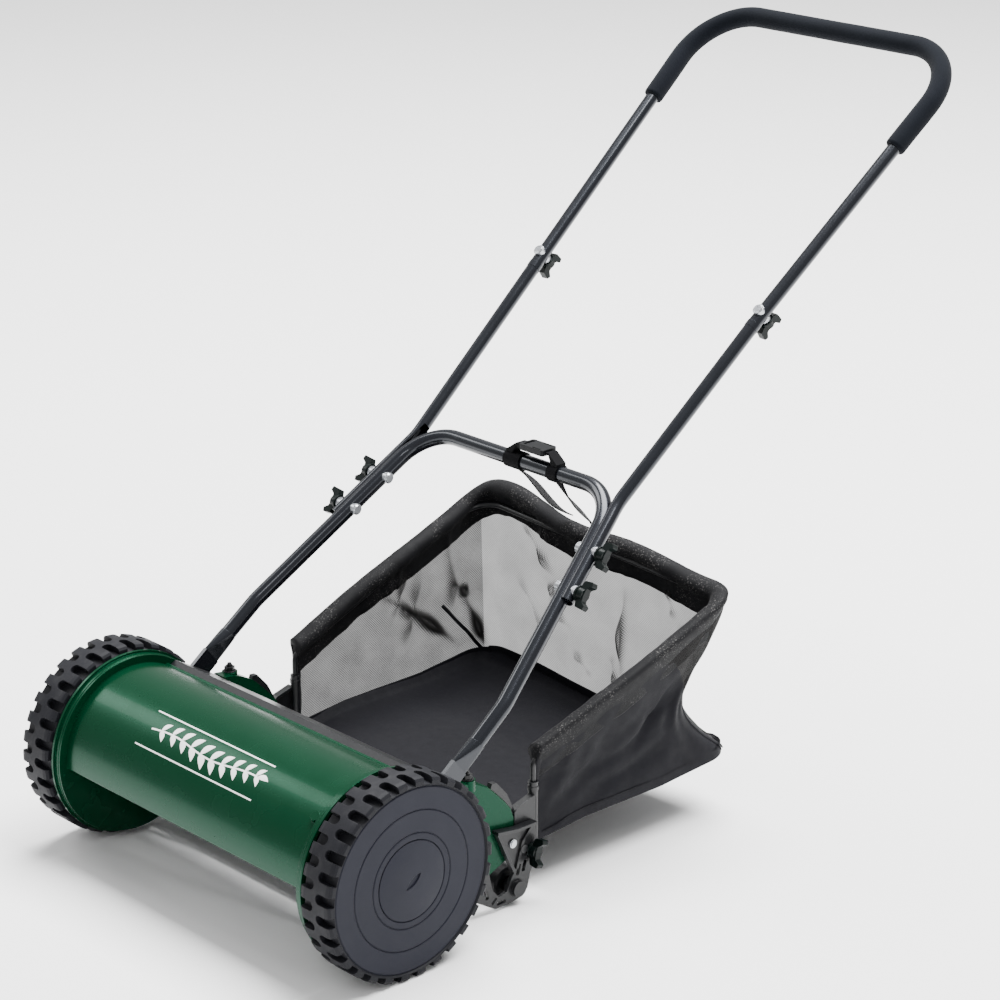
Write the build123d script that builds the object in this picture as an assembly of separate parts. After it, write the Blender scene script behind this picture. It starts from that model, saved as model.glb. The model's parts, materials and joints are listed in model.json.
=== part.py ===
from build123d import *
import math
import os

os.makedirs("parts", exist_ok=True)

# Push reel mower with a collecting bag, in millimetres.
# Origin: on the ground under the middle of the wheel axle. +Z up, +Y to the operator. Nodes named
# right are on the +X side, as seen from in front of the mower, and are mirrored to make the left ones.

# ---------------------------------------------------------------- driving dimensions
AXLE_Z = 105.0            # wheel axle height, equal to the wheel radius
WHEEL_R = 105.0
WHEEL_IN = 207.5          # inner and outer faces of the wheel, from the centre plane
WHEEL_OUT = 250.4
TREAD_IN_R = 93.0
LUGS = 30                 # pockets in each of the two staggered rows
POCKET_W = 10.4
POCKET_L = 19.4
POCKET_DEPTH = 7.2

WEB_IN = 193.0            # side plate web, inner and outer faces
WEB_OUT = 195.5
RIM_OUT = 203.5           # outer edge of the side plate rim
RIM_R = 100.0
BOX_OUT = 196.9           # outer face of the rear box

COVER_R = 89.0            # outside of the front cover
COVER_T = 1.5
COVER_FROM = 0.0          # degrees up from straight ahead
COVER_TO = 120.0
COVER_BOLTS = (46.0,)     # right-hand end; the left-hand end is held by its lip

REEL_Y, REEL_Z, REEL_R = 44.0, 86.0, 60.0
REEL_HALF = 187.5
BLADES = 5
BLADE_TWIST = 62.0
MODULE = 2.0
RING_TEETH = 60
PINION_TEETH = 12
GEAR_IN, GEAR_OUT = 212.0, 224.0

HANDLE_K = 0.778          # rise per unit of rearward run of the lower handle
LEG_D = 17.0
TUBE_D = 15.0
NECK_D = 12.4
GRIP_D = 23.0
LEG_X = 198.0             # middle plane of the flattened handle ends
LEG_FOOT = (40.0, 123.5)  # (y, z) of the lowest bolt through the flattened end
LEG_SLOPE = math.atan2(221.3 - 166.1, 168.7 - 96.1)
LOW_BEND = (197.0, 168.7, 221.3)
CROSS_Y = 375.0
CROSS_X = 145.0           # virtual corner of the lower handle
SADDLE = 8.0              # side offset of the handle tube from the leg it clamps to
MID_START_Y = 270.0
MID_BEND = (152.0, 375.0, 387.0)
TOP_CORNER = (188.3, 858.5, 777.6)
JOINT_Y = 554.6
GRIP_END_Y = 751.4
CLAMP_Y = (280.5, 318.4)

ROLLER_Y, ROLLER_Z, ROLLER_R = 183.0, 18.0, 18.0
SOCKET_X, SOCKET_Y = 190.0, 215.0
HEIGHT_BOLTS = ((190.5, 60.0), (203.0, 54.0))   # guide bolt and clamp bolt, (y, z)
HEIGHT_UP, HEIGHT_DOWN = 16.0, 12.0
STOP_SCREW = (176.0, 70.0)

BAG_FRONT_Y = 213.0
BAG_REAR_Y = 503.0


# ---------------------------------------------------------------- helpers
def save(name, shape):
    shape.label = name
    export_step(shape, f"parts/{name}.step")


def save_pair(name, right):
    save(f"{name}_right", right)
    save(f"{name}_left", mirror(right, about=Plane.YZ))


def both(right):
    return Compound(children=list(right.solids()) + list(mirror(right, about=Plane.YZ).solids()))


def side_plane(x):
    """Sketch plane facing +X whose sketch axes are (y, z)."""
    return Plane(origin=(x, 0, 0), x_dir=(0, 1, 0), z_dir=(1, 0, 0))


def rod_x(radius, x0, x1, y=0.0, z=AXLE_Z):
    """Round bar along X."""
    return extrude(side_plane(x0) * Pos(y, z) * Circle(radius), x1 - x0)


def tube_x(outer, inner, x0, x1, y=0.0, z=AXLE_Z):
    ring = Circle(outer) - Circle(inner)
    return extrude(side_plane(x0) * Pos(y, z) * ring, x1 - x0)


def slab_x(points, x0, x1, corner=0.0):
    """Flat plate facing +X from an outline of (y, z) points."""
    face = make_face(Polyline(*points, close=True))
    if corner:
        face = fillet(face.vertices(), corner)
    return extrude(side_plane(x0) * face, x1 - x0)


def turned_x(points, y=0.0, z=AXLE_Z):
    """Solid of revolution about a line along X from an outline of (x, radius) points."""
    outline = Polyline(*[(x, y, z + r) for x, r in points], close=True)
    return revolve(make_face(outline), Axis((0, y, z), (1, 0, 0)), 360)


def bar(start, end, radius):
    """Round bar between two points."""
    a = Vector(*start)
    b = Vector(*end)
    return extrude(Plane(origin=a, z_dir=b - a) * Circle(radius), (b - a).length)


def hexagon(start, end, flats):
    a = Vector(*start)
    b = Vector(*end)
    sketch = Plane(origin=a, z_dir=b - a) * RegularPolygon(flats / 2, 6, major_radius=False)
    return extrude(sketch, (b - a).length)


def route(points, radii):
    """Wire through the points with a tangent bend of the given radius at each inner point."""
    pts = [Vector(*p) for p in points]
    edges = []
    here = pts[0]
    for i, radius in enumerate(radii, start=1):
        back = (pts[i - 1] - pts[i]).normalized()
        ahead = (pts[i + 1] - pts[i]).normalized()
        half = math.acos(max(-1.0, min(1.0, back.dot(ahead)))) / 2
        run = radius / math.tan(half)
        centre = pts[i] + (back + ahead).normalized() * (radius / math.sin(half))
        middle = centre + (pts[i] - centre).normalized() * radius
        edges.append(Edge.make_line(here, pts[i] + back * run))
        edges.append(Edge.make_three_point_arc(pts[i] + back * run, middle, pts[i] + ahead * run))
        here = pts[i] + ahead * run
    edges.append(Edge.make_line(here, pts[-1]))
    return Wire(edges)


def pipe(points, radii, outer, inner=0.0):
    """Bent bar or tube following a route."""
    path = route(points, radii)
    start = Plane(origin=path @ 0, z_dir=path % 0)
    body = sweep(start * Circle(outer), path=path)
    if inner:
        body = body - sweep(start * Circle(inner), path=path)
    return body


def lerp(a, b, t):
    return tuple(p + (q - p) * t for p, q in zip(a, b))


def lower_leg(x, y):
    """Point at height of the lower handle plane above its low bend."""
    return (x, y, LOW_BEND[2] + (y - LOW_BEND[1]) * HANDLE_K)


def leg_x(y):
    """Sideways place of the lower handle leg centre line at y."""
    t = (y - LOW_BEND[1]) / (CROSS_Y - LOW_BEND[1])
    return LOW_BEND[0] + (CROSS_X - LOW_BEND[0]) * t


def upper_point(y):
    """Point on the straight run of the right-hand handle tube at y."""
    return lerp(MID_BEND, TOP_CORNER, (y - MID_BEND[1]) / (TOP_CORNER[1] - MID_BEND[1]))


def gear_outline(teeth, tip, root, thin, turn):
    """Involute tooth outline as (u, v) points, one tooth centred on the direction `turn`."""
    pitch = MODULE * teeth / 2
    base = pitch * math.cos(math.radians(20))
    inv0 = math.tan(math.radians(20)) - math.radians(20)
    low = max(root, base)
    points = []
    for tooth in range(teeth):
        centre = turn + 2 * math.pi * tooth / teeth
        flank = []
        for k in range(5):
            r = low + (tip - low) * k / 4
            a = math.acos(min(1.0, base / r))
            half = math.pi / (2 * teeth) + inv0 - (math.tan(a) - a) - thin / pitch
            flank.append((r, half))
        left = [(r, centre - h) for r, h in flank]
        right = [(r, centre + h) for r, h in reversed(flank)]
        if root < low:
            left.insert(0, (root, centre - flank[0][1]))
            right.append((root, centre + flank[0][1]))
        points += [(r * math.cos(t), r * math.sin(t)) for r, t in left + right]
    return points


MESH = math.atan2(REEL_Z - AXLE_Z, REEL_Y)
NORMAL = Vector(0, -math.sin(math.atan(0.806)), math.cos(math.atan(0.806)))


# ---------------------------------------------------------------- wheels
def pocket(x0, x1, round_at, angle):
    middle = (x0 + x1) / 2
    body = Pos(middle, 0, AXLE_Z + WHEEL_R - POCKET_DEPTH + 6) * Box(x1 - x0, POCKET_W, 12)
    end = Pos(round_at, 0, AXLE_Z + WHEEL_R - POCKET_DEPTH + 6) * Cylinder(POCKET_W / 2, 12)
    return (body + end).rotate(Axis((0, 0, AXLE_Z), (1, 0, 0)), angle)


wheel = turned_x([
    (WHEEL_IN, TREAD_IN_R), (WHEEL_IN, 101.5), (209.3, 104.2), (213.5, WHEEL_R), (244.4, WHEEL_R),
    (248.6, 104.2), (WHEEL_OUT, 101.5), (WHEEL_OUT, 97.2), (248.3, 95.6), (249.3, 94.2), (249.3, 73.0),
    (248.3, 72.0), (249.3, 71.0), (249.3, 50.0), (248.3, 49.0), (249.3, 48.0), (249.3, 42.4),
    (248.0, 41.6), (248.0, 24.0), (240.0, 24.0), (240.0, 9.0), (209.5, 9.0), (209.5, 18.0),
    (236.0, 18.0), (236.0, 28.0), (245.0, 28.0), (245.0, 62.6), (GEAR_IN, 62.6), (GEAR_IN, 68.0),
    (245.0, 68.0), (245.0, TREAD_IN_R)])
pitch_angle = 360.0 / LUGS
pockets = []
for n in range(LUGS):
    outer_from = WHEEL_OUT - POCKET_L + POCKET_W / 2
    inner_to = WHEEL_IN + POCKET_L - POCKET_W / 2
    pockets.append(pocket(outer_from, WHEEL_OUT + 2, outer_from, n * pitch_angle))
    pockets.append(pocket(WHEEL_IN - 2, inner_to, inner_to, (n + 0.5) * pitch_angle))
wheel = wheel - pockets
tooth_space = make_face(Polyline(*gear_outline(RING_TEETH, 62.6, 59.4, -0.3, MESH), close=True))
ring_teeth = extrude(side_plane(GEAR_IN) * Pos(0, AXLE_Z) * (Circle(63.4) - tooth_space), GEAR_OUT - GEAR_IN)
wheel = wheel + ring_teeth
ribs = []
for n in range(12):
    rib = Pos(235, 0, AXLE_Z + 80.3) * Box(20.4, 2.6, 26)
    ribs.append(rib.rotate(Axis((0, 0, AXLE_Z), (1, 0, 0)), n * 30 + 6))
for n in range(6):
    rib = Pos(242.6, 0, AXLE_Z + 45) * Box(5.2, 3.0, 36)
    ribs.append(rib.rotate(Axis((0, 0, AXLE_Z), (1, 0, 0)), n * 60 + 6))
wheel = wheel + ribs
save_pair("wheel", wheel)

cap_outline = Wire([
    Edge.make_three_point_arc((251.6, 0, AXLE_Z), (251.1, 0, AXLE_Z + 23), (249.2, 0, AXLE_Z + 41.0)),
    Edge.make_line((249.2, 0, AXLE_Z + 41.0), (248.0, 0, AXLE_Z + 41.0)),
    Edge.make_line((248.0, 0, AXLE_Z + 41.0), (248.0, 0, AXLE_Z + 24.0)),
    Edge.make_line((248.0, 0, AXLE_Z + 24.0), (243.0, 0, AXLE_Z + 24.0)),
    Edge.make_line((243.0, 0, AXLE_Z + 24.0), (243.0, 0, AXLE_Z + 21.5)),
    Edge.make_line((243.0, 0, AXLE_Z + 21.5), (248.6, 0, AXLE_Z + 21.5)),
    Edge.make_line((248.6, 0, AXLE_Z + 21.5), (248.6, 0, AXLE_Z)),
    Edge.make_line((248.6, 0, AXLE_Z), (251.6, 0, AXLE_Z))])
cap = revolve(make_face(cap_outline), Axis((0, 0, AXLE_Z), (1, 0, 0)), 360)
lens = (Pos(0, 16.3) * Circle(20)) & (Pos(0, -16.3) * Circle(20))
pry_slot = extrude(side_plane(250.3) * Pos(0, AXLE_Z) * Rot(0, 0, 36) * lens, 3)
cap = cap - pry_slot
save_pair("hub_cap", cap)
save_pair("wheel_bush", tube_x(9.0, 8.08, 209.5, 240.0))

# ---------------------------------------------------------------- axle studs
stud = rod_x(12.0, 190.2, WEB_IN) + rod_x(8.0, WEB_IN, 246.2)
stud = stud + rod_x(14.0, WEB_OUT, 199.5) + rod_x(11.0, 199.5, 209.2)
stud_washer = tube_x(14.0, 8.0, 240.3, 241.6)
stud_nut = hexagon((241.6, 0, AXLE_Z), (245.8, 0, AXLE_Z), 24.0) - rod_x(8.0, 241, 247)
save("axle_studs", both(stud))
save("axle_nuts", Compound(children=list(both(stud_washer).solids()) + list(both(stud_nut).solids())))

# ---------------------------------------------------------------- side plates
leg_dir = Vector(0, math.cos(LEG_SLOPE), math.sin(LEG_SLOPE))
leg_side = Vector(0, -math.sin(LEG_SLOPE), math.cos(LEG_SLOPE))


def strip_outline(width, start, length):
    """Rounded strip outline in (y, z) along the flattened handle end."""
    centre = Vector(0, *LEG_FOOT) + leg_dir * (start + length / 2)
    turn = math.degrees(LEG_SLOPE)
    return Pos(centre.Y, centre.Z) * Rot(0, 0, turn) * SlotOverall(length, width)


web = rod_x(97.0, WEB_IN, WEB_OUT)
rim = turned_x([(WEB_IN, 91.5), (WEB_IN, 94.0), (WEB_IN + 2.5, 97.6), (RIM_OUT - 3.0, 97.6),
                (RIM_OUT - 3.0, RIM_R), (RIM_OUT, RIM_R), (RIM_OUT, 95.6), (WEB_OUT + 2.0, 95.6),
                (WEB_OUT, 92.5)])
box_top = [(108.5, 153.6), (118.0, 152.4), (131.0, 149.0), (147.0, 140.0), (160.0, 127.5),
           (171.0, 116.0), (179.0, 106.0), (183.0, 95.0)]
box_low = [(183.0, 62.0), (172.0, 52.0), (148.0, 42.0), (108.5, 30.0)]
box = slab_x(box_top + box_low, 178.0, BOX_OUT)
inner_top = [(111.0, 151.0), (118.0, 149.8), (130.0, 146.6), (145.5, 138.0), (158.0, 126.0),
             (169.0, 114.4), (176.8, 104.8), (180.5, 94.5)]
inner_low = [(180.5, 40.0), (111.0, 20.0)]
box = box - slab_x(inner_top + inner_low, 180.5, BOX_OUT - 2.0)
box_edges = box.edges().filter_by(GeomType.LINE).group_by(Axis.X)[-1]
box_edges = [e for e in box_edges if e.center().Z > 60]
box = chamfer(box_edges, 1.2)
tail_outline = [(60, 150), (96, 148), (112, 150), (112, 30), (90, 12), (52, 10), (40, 24)]
web_tail = slab_x(tail_outline, WEB_IN, WEB_OUT)
lip = turned_x([(177.0, 84.0), (177.0, COVER_R - COVER_T), (WEB_IN, COVER_R - COVER_T), (WEB_IN, 84.0)])
lip_keep = slab_x([(0, 105), (-110, 113), (-110, 215), (45, 215)], 176.0, 194.0)
lip = lip & lip_keep
boss = bar((190.0, 125.0, 141.0), (190.0, 125.0, 153.0), 8.5)
plate = web + web_tail + rim + box + lip + boss
leg_notch = extrude(side_plane(WEB_OUT) * strip_outline(26.0, 30.0, 95.0), 12)
plate = plate - (leg_notch - slab_x([(108.5, 20), (190, 20), (190, 154), (108.5, 154)], 178.0, 210.0))
plate = plate - rod_x(8.0, 190, 200) - rod_x(11.0, 190, 200, REEL_Y, REEL_Z)
plate = plate - [rod_x(3.0, 190, 200, 40.0, 123.5), rod_x(3.0, 190, 200, 76.0, 150.9)]
plate = plate - [rod_x(3.0, 190, 200, 60.0, 17.0), rod_x(3.0, 190, 200, 74.0, 17.0)]
plate = plate - bar((190.0, 125.0, 138.0), (190.0, 125.0, 158.0), 3.0)
plain_plate = plate
for angle in COVER_BOLTS:
    a = math.radians(angle)
    out = Vector(185.0, -math.cos(a) * 95, AXLE_Z + math.sin(a) * 95)
    inn = Vector(185.0, -math.cos(a) * 80, AXLE_Z + math.sin(a) * 80)
    plate = plate - bar(inn, out, 2.5)
rivet_holes = [bar((185.0, 176.0, z), (185.0, 190.0, z), 2.5) for z in (72.0, 90.0)]
save("side_plate_right", plate - rivet_holes)
save("side_plate_left", mirror(plain_plate - rivet_holes, about=Plane.YZ))

# ---------------------------------------------------------------- front cover
def cover_angle(degrees, radius):
    a = math.radians(degrees)
    return (0.0, -math.cos(a) * radius, AXLE_Z + math.sin(a) * radius)


def arc_band(r_in, r_out, a0, a1):
    """Closed face of an arc-shaped band in the plane x = 0."""
    am = (a0 + a1) / 2
    outer = [cover_angle(a, r_out) for a in (a0, am, a1)]
    inner = [cover_angle(a, r_in) for a in (a1, am, a0)]
    edges = [Edge.make_three_point_arc(*outer),
             Edge.make_line(outer[2], inner[0]),
             Edge.make_three_point_arc(*inner),
             Edge.make_line(inner[2], outer[0])]
    return make_face(Wire(edges))


half_width = WEB_IN
cover = extrude(arc_band(COVER_R - COVER_T, COVER_R, COVER_FROM, COVER_TO), half_width, both=True)
rear_hem = Vector(*cover_angle(COVER_TO, COVER_R - 0.2))
front_hem = Vector(*cover_angle(COVER_FROM, COVER_R - 2.0))
cover = cover + bar((-half_width, rear_hem.Y, rear_hem.Z), (half_width, rear_hem.Y, rear_hem.Z), 2.2)
cover = cover + bar((-half_width, front_hem.Y, front_hem.Z), (half_width, front_hem.Y, front_hem.Z), 2.0)
cover_bolts = []
for angle in COVER_BOLTS:
    a = math.radians(angle)
    d = Vector(0, -math.cos(a), math.sin(a))
    seat = Vector(185.0, 0, AXLE_Z) + d * COVER_R
    cover = cover - bar((seat - d * 3), (seat + d * 3), 2.5)
    shank = bar((seat - d * 9), seat, 2.5)
    flange = bar(seat, (seat + d * 1.4), 6.8)
    head = hexagon((seat + d * 1.4), (seat + d * 5.0), 10.0)
    cover_bolts.append(shank + flange + head)
save("front_cover", cover)
save("cover_bolts", Compound(children=[s for b in cover_bolts for s in b.solids()]))

# ---------------------------------------------------------------- rear guard and bed knife
guard = slab_x([(49.0, 181.0), (56.0, 184.5), (101.0, 157.5), (103.0, 146.0), (100.6, 146.0),
                (99.0, 155.8), (56.2, 181.6), (50.4, 178.8)], -WEB_IN, WEB_IN)
save("rear_guard", guard)

knife_bar = slab_x([(50.0, 12.0), (82.0, 12.0), (84.0, 14.0), (84.0, 22.6), (50.0, 22.6)], -WEB_IN, WEB_IN)
knife_bar = knife_bar - slab_x([(56.0, 11.0), (80.0, 11.0), (80.0, 18.6), (56.0, 18.6)], -180, 180)
for x in (-187.0, 187.0):
    for y in (60.0, 74.0):
        knife_bar = knife_bar - rod_x(3.0, x - 9, x + 9, y, 17.0)
knife_outline = [(36.0, 25.4), (37.2, 22.6), (78.0, 22.6), (78.0, 25.0), (44.0, 25.0)]
knife = slab_x(knife_outline, -WEB_IN + 1, WEB_IN - 1)
knife_screws = []
for x in (-160.0, -80.0, 0.0, 80.0, 160.0):
    knife = knife - bar((x, 70, 20), (x, 70, 30), 2.6)
    knife_bar = knife_bar - bar((x, 70, 11), (x, 70, 30), 2.6)
    screw = bar((x, 70, 14.4), (x, 70, 25.0), 2.6) + hexagon((x, 70, 14.0), (x, 70, 18.6), 8.5)
    knife_screws.append(screw + bar((x, 70, 25.0), (x, 70, 27.2), 5.2))
save("bed_knife_bar", knife_bar)
save("bed_knife", knife)
end_bolts = []
for y in (60.0, 74.0):
    bolt = rod_x(3.0, 180.0, WEB_OUT, y, 17.0) + hexagon((WEB_OUT, y, 17.0), (WEB_OUT + 4, y, 17.0), 10)
    end_bolts += list(both(bolt).solids())
save("bed_knife_screws", Compound(children=[s for b in knife_screws for s in b.solids()] + end_bolts))

adjuster = bar((190, 125, 142), (190, 125, 161), 3.0) + hexagon((190, 125, 154.0), (190, 125, 158.6), 10)
adjuster = adjuster + bar((190, 125, 153.0), (190, 125, 154.0), 7.0)
adjuster = adjuster + bar((190, 125, 161), (190, 125, 162.5), 2.2)
save("adjuster_screws", both(adjuster))

# ---------------------------------------------------------------- cutting reel
def blade_face(x, start):
    turn = start + BLADE_TWIST * (x / REEL_HALF) / 2
    corners = [(60.0, -1.4), (60.0, 1.0), (50.0, 3.2), (47.5, 3.2), (47.5, 0.4), (56.0, -1.4)]
    c, s = math.cos(math.radians(turn)), math.sin(math.radians(turn))
    ring = [(x, REEL_Y + u * c - v * s, REEL_Z + u * s + v * c) for u, v in corners]
    return make_face(Polyline(*ring, close=True))


blades = []
steps = 12
for n in range(BLADES):
    stations = [-REEL_HALF + 2 * REEL_HALF * k / steps for k in range(steps + 1)]
    blades.append(loft([blade_face(x, 360.0 * n / BLADES) for x in stations], ruled=True))
save("reel_blades", Compound(children=[s for b in blades for s in b.solids()]))

spiders = []
for x in (-176.0, -88.0, 0.0, 88.0, 176.0):
    hub = tube_x(13.0, 7.0, x - 6, x + 6, REEL_Y, REEL_Z)
    plate_ring = tube_x(22.0, 7.0, x - 1.5, x + 1.5, REEL_Y, REEL_Z)
    spider = hub + plate_ring
    for n in range(BLADES):
        turn = 360.0 * n / BLADES + BLADE_TWIST * (x / REEL_HALF) / 2
        arm = Pos(x, REEL_Y + 35, REEL_Z + 1.8) * Box(3.0, 34.0, 9.0)
        spider = spider + arm.rotate(Axis((0, REEL_Y, REEL_Z), (1, 0, 0)), turn)
    spider = spider - blades
    spiders += [max(spider.solids(), key=lambda s: s.volume)]
save("reel_spiders", Compound(children=spiders))

shaft = rod_x(7.0, -190.0, 190.0, REEL_Y, REEL_Z) + rod_x(6.0, -238.0, 238.0, REEL_Y, REEL_Z)
slots = [Pos(x, REEL_Y, REEL_Z) * Box(6.0, 4.0, 20.0) for x in (-229.0, 229.0)]
save("reel_shaft", shaft - slots)
keys = [Pos(x, REEL_Y, REEL_Z) * Box(6.0, 4.0, 16.8) for x in (-229.0, 229.0)]
save("pawl_keys", Compound(children=keys))

bearing = tube_x(11.0, 6.08, 190.4, WEB_OUT, REEL_Y, REEL_Z)
bearing = bearing + tube_x(16.0, 6.08, WEB_OUT, 199.0, REEL_Y, REEL_Z)
bearing = bearing + tube_x(10.0, 6.08, 199.0, 211.6, REEL_Y, REEL_Z)
save("reel_bearings", both(bearing))

pinion_face = make_face(Polyline(*gear_outline(PINION_TEETH, 13.6, 9.6, 0.3, MESH), close=True))
pinion = extrude(side_plane(GEAR_IN + 0.3) * Pos(REEL_Y, REEL_Z) * (pinion_face - Circle(6.08)), 11.9)
cup_hole = Circle(9.0) + [Rot(0, 0, a) * Pos(9.2, 0) * Rectangle(3.6, 5.0) for a in (0, 90, 180, 270)]
cup = extrude(side_plane(224.2) * Pos(REEL_Y, REEL_Z) * (Circle(12.6) - cup_hole), 9.6)
save_pair("pinion", pinion + cup)
clip = tube_x(9.0, 6.0, 234.2, 235.4, REEL_Y, REEL_Z)
save("pinion_clips", both(clip))

# ---------------------------------------------------------------- lower handle
flat_len = 84.0           # straight flattened part measured from the lowest bolt
flat_mid = Vector(LEG_X, *LEG_FOOT) + leg_dir * flat_len
tube_from = flat_mid + leg_dir * 30.0


def strip_end(side):
    """Flattened handle end with a smooth change to the round tube."""
    strip = extrude(side_plane(LEG_X - 2.5) * strip_outline(24.0, -12.0, flat_len + 24.0), 5.0)
    cut_plane = Plane(origin=flat_mid, z_dir=leg_dir)
    strip = split(strip, bisect_by=cut_plane, keep=Keep.BOTTOM)
    round_end = LEG_D + 1.0
    sections = [Plane(origin=flat_mid, x_dir=(1, 0, 0), z_dir=leg_dir) * RectangleRounded(5.0, 23.9, 2.4),
                Plane(origin=flat_mid + leg_dir * 14, x_dir=(1, 0, 0), z_dir=leg_dir)
                * RectangleRounded(12.0, 21.0, 5.7),
                Plane(origin=tube_from, x_dir=(1, 0, 0), z_dir=leg_dir)
                * RectangleRounded(round_end, round_end, round_end / 2 - 0.1)]
    taper = loft(sections)
    end = strip + taper
    holes = [rod_x(3.0, 190, 206, 40.0, 123.5), rod_x(3.0, 190, 206, 76.0, 150.9)]
    end = end - holes
    return end if side > 0 else mirror(end, about=Plane.YZ)


corner_r = lower_leg(CROSS_X, CROSS_Y)
corner_l = (-corner_r[0], corner_r[1], corner_r[2])
low_l = (-LOW_BEND[0], LOW_BEND[1], LOW_BEND[2])
start_r = tube_from - leg_dir * 1.5
start_l = (-start_r.X, start_r.Y, start_r.Z)
handle_points = [start_l, low_l, corner_l, corner_r, LOW_BEND, start_r]
lower = pipe(handle_points, [60.0, 55.0, 55.0, 60.0], LEG_D / 2, LEG_D / 2 - 1.2)
lower = lower + strip_end(1) + strip_end(-1)
leg_holes = []
for y in CLAMP_Y:
    p = lower_leg(leg_x(y), y)
    leg_holes.append(rod_x(3.0, p[0] - 30, p[0] + 30, p[1], p[2]))
lower = lower - [both(h) for h in leg_holes]
save("lower_handle", lower)

leg_bolts = []
for y, z in ((40.0, 123.5), (76.0, 150.9)):
    bolt = rod_x(3.0, WEB_IN, 205.6, y, z) + rod_x(7.0, 191.2, WEB_IN, y, z)
    bolt = bolt + hexagon((LEG_X + 2.5, y, z), (LEG_X + 7.0, y, z), 10.0)
    leg_bolts += list(both(bolt).solids())
save("leg_bolts", Compound(children=leg_bolts))

# ---------------------------------------------------------------- handle tubes
slope_x = (leg_x(CLAMP_Y[1]) - leg_x(CLAMP_Y[0])) / (CLAMP_Y[1] - CLAMP_Y[0])


def saddle_point(y):
    """Centre of the handle tube where it lies beside the leg."""
    p = lower_leg(leg_x(y), y)
    return (p[0] + SADDLE, p[1], p[2])


mid_start = saddle_point(MID_START_Y)
bend_y = 366.0
mid_bend = saddle_point(bend_y)
joint = Vector(*upper_point(JOINT_Y))
run = (Vector(*TOP_CORNER) - Vector(*MID_BEND)).normalized()
mid = pipe([mid_start, mid_bend, joint - run * 3], [70.0], TUBE_D / 2, TUBE_D / 2 - 1.2)
beside_leg = bar(lower_leg(leg_x(MID_START_Y - 20), MID_START_Y - 20),
                 lower_leg(leg_x(bend_y + 10), bend_y + 10), LEG_D / 2)
mid = mid - beside_leg
mid = max(mid.solids(), key=lambda s: s.volume)
neck = bar(joint, (joint + run * 42), NECK_D / 2)
neck = neck - bar((joint - run * 2), (joint + run * 43), NECK_D / 2 - 1.4)
collar = bar((joint - run * 7), joint, TUBE_D / 2 + 0.4)
collar = collar - bar((joint - run * 8), (joint + run), NECK_D / 2 - 1.4)
clamp_drills = []
for y in CLAMP_Y:
    p = lower_leg(leg_x(y), y)
    clamp_drills.append(rod_x(3.0, p[0] - 30, p[0] + 40, p[1], p[2]))
bolt_up = joint + run * 13.0
upper_drill = bar(bolt_up - NORMAL * 14, bolt_up + NORMAL * 14, 2.9)
mid = (mid + neck + collar) - clamp_drills - upper_drill
save_pair("handle_tube", mid)

join_l = (-joint.X, joint.Y, joint.Z)
top_l = (-TOP_CORNER[0], TOP_CORNER[1], TOP_CORNER[2])
upper = pipe([join_l, top_l, TOP_CORNER, joint], [70.0, 70.0], TUBE_D / 2, NECK_D / 2)
upper = upper - both(upper_drill)
save("upper_handle", upper)

grip_r = upper_point(GRIP_END_Y)
grip_l = (-grip_r[0], grip_r[1], grip_r[2])
grip = pipe([grip_l, top_l, TOP_CORNER, grip_r], [70.0, 70.0], GRIP_D / 2, TUBE_D / 2)
save("foam_grip", grip)

# ---------------------------------------------------------------- clamp bolts and wing knobs
def carriage_bolt(seat, direction, length):
    """Domed head sitting on `seat`, shank running along `direction`."""
    d = direction.normalized()
    head = Plane(origin=seat, z_dir=d * -1) * Circle(6.2)
    crown = Plane(origin=seat - d * 1.2, z_dir=d * -1) * Circle(5.6)
    dome = extrude(head, 1.2) + extrude(crown, 1.6, taper=32)
    return dome + bar(seat, seat + d * length, 2.9)


def wing_knob(seat, direction, wing_dir):
    """Hub and two raised wings, bored for the bolt end, seated on `seat`."""
    d = direction.normalized()
    base = Plane(origin=seat, x_dir=wing_dir, z_dir=d)
    hub = extrude(base * Circle(7.6), 9.0, taper=6)
    skirt = extrude(base * Circle(8.6), 2.0)
    wing_plane = Plane(origin=seat, x_dir=wing_dir, z_dir=d.cross(wing_dir) * -1)
    half = [(0, 2.6), (8.0, 2.6), (14.0, 5.0), (15.0, 15.0), (10.5, 16.6), (6.8, 10.8), (0, 9.8)]
    outline = half + [(-u, v) for u, v in reversed(half[1:-1])]
    face = make_face(Polyline(*outline, close=True))
    face = fillet(face.vertices(), 1.2)
    wings = extrude(wing_plane * face, 4.0, both=True)
    knob = hub + skirt + wings
    bore = extrude(base * Circle(2.98), 8.0)
    return knob - bore


leg_core = bar(lower_leg(leg_x(250.0), 250.0), lower_leg(leg_x(345.0), 345.0), LEG_D / 2)
tube_core = bar(saddle_point(262.0), saddle_point(345.0), TUBE_D / 2)
lower_bolts = []
for index, y in enumerate(CLAMP_Y, start=1):
    p = lower_leg(leg_x(y), y)
    seat_in = Vector(p[0] - LEG_D / 2, p[1], p[2])
    seat_out = Vector(p[0] + SADDLE + TUBE_D / 2, p[1], p[2])
    washer = seat_out + Vector(2.9, 0, 0)
    bolt = carriage_bolt(seat_in - Vector(1.6, 0, 0), Vector(1, 0, 0), (washer - seat_in).length + 8.6)
    bolt = bolt + (rod_x(6.2, seat_in.X - 1.6, p[0], p[1], p[2]) - leg_core)
    cup_washer = rod_x(6.8, p[0] + SADDLE, washer.X - 0.3, p[1], p[2]) - tube_core
    cup_washer = cup_washer - rod_x(2.9, p[0], p[0] + 40, p[1], p[2])
    lower_bolts += list(both(bolt).solids()) + list(both(cup_washer).solids())
    knob = wing_knob(washer, Vector(1, 0, 0), Vector(0, 0.55, 0.83).normalized())
    save_pair(f"clamp_knob_{index}", knob)
save("lower_clamp_bolts", Compound(children=lower_bolts))

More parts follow.
